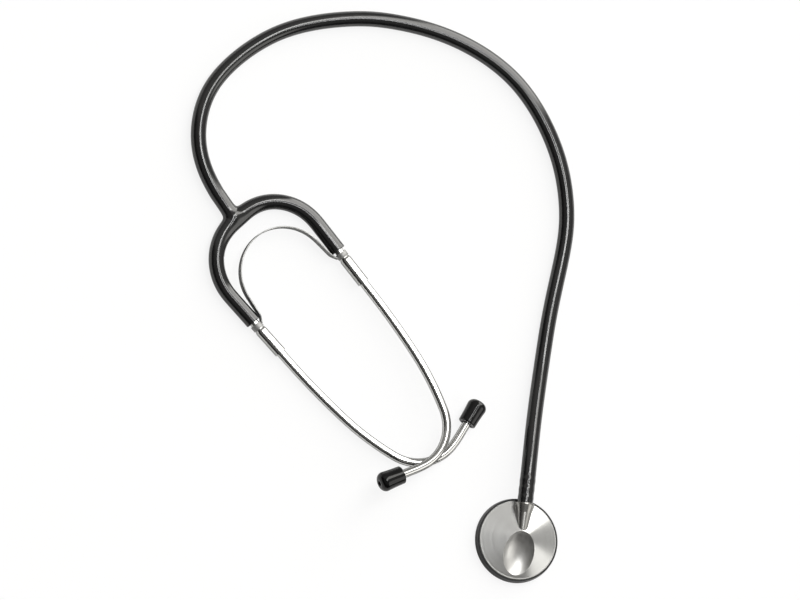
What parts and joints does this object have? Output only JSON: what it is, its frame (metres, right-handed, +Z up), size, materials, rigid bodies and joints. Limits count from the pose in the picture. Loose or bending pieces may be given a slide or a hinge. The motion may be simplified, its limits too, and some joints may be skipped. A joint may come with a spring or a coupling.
{
  "type": "single-head stethoscope",
  "caption": "Acoustic stethoscope with a shallow single-sided steel head, black hose and yoke, bent metal ear tubes with a leaf spring, and soft ear tips.",
  "frame": {"origin": "centre of the diaphragm's outer face, on the surface that the part lies on", "axes": "+Z up out of the head's back, +Y along the headset from the ear tips towards the yoke, +X to the right, where the hose loops"},
  "size_m": [0.2169, 0.3273, 0.0236],
  "materials": {
    "head_steel": "turned, satin to bright",
    "stem_steel": "bright",
    "rim_plastic": "gloss",
    "diaphragm_plastic": "satin",
    "hose": "gloss",
    "leaf_steel": "plain spring steel",
    "ear_tube_metal": "polished",
    "clip_metal": "polished",
    "ear_tip_rubber": "gloss"
  },
  "bodies": {
    "base": {"chest_body": "head_steel", "stem": "stem_steel", "rim": "rim_plastic", "main_tube": "hose", "yoke": "hose", "leaf_spring": "leaf_steel"},
    "diaphragm": {"diaphragm": "diaphragm_plastic"},
    "ear_left": {"ear_tube_left": "ear_tube_metal", "spring_clip_left": "clip_metal"},
    "ear_right": {"ear_tube_right": "ear_tube_metal", "spring_clip_right": "clip_metal"},
    "tip_left": {"ear_tip_left": "ear_tip_rubber"},
    "tip_right": {"ear_tip_right": "ear_tip_rubber"}
  },
  "joints": [
    {"name": "ear_left_spread", "type": "hinge", "parent": "base", "child": "ear_left", "pos_m": [-0.0226, 0.21, 0.00425], "axis": [0, 0, -1], "range_deg": [0, 45], "stiffness_Nm_per_rad": 1, "deforming": ["yoke", "leaf_spring"]},
    {"name": "ear_right_spread", "type": "hinge", "parent": "base", "child": "ear_right", "pos_m": [0.0094, 0.21, 0.00425], "axis": [0, 0, 1], "range_deg": [0, 45], "stiffness_Nm_per_rad": 1, "deforming": ["yoke", "leaf_spring"]},
    {"name": "diaphragm_press", "type": "slide", "parent": "base", "child": "diaphragm", "axis": [0, 0, 1], "range_m": [0, 0.0004], "stiffness_N_per_m": 3000},
    {"name": "ear_tip_left_pull", "type": "slide", "parent": "ear_left", "child": "tip_left", "axis": [0.9527, 0.304, -0.0025], "range_m": [0, 0.014]},
    {"name": "ear_tip_right_pull", "type": "slide", "parent": "ear_right", "child": "tip_right", "axis": [-0.9494, 0.3036, 0.0804], "range_m": [0, 0.014]}
  ]
}
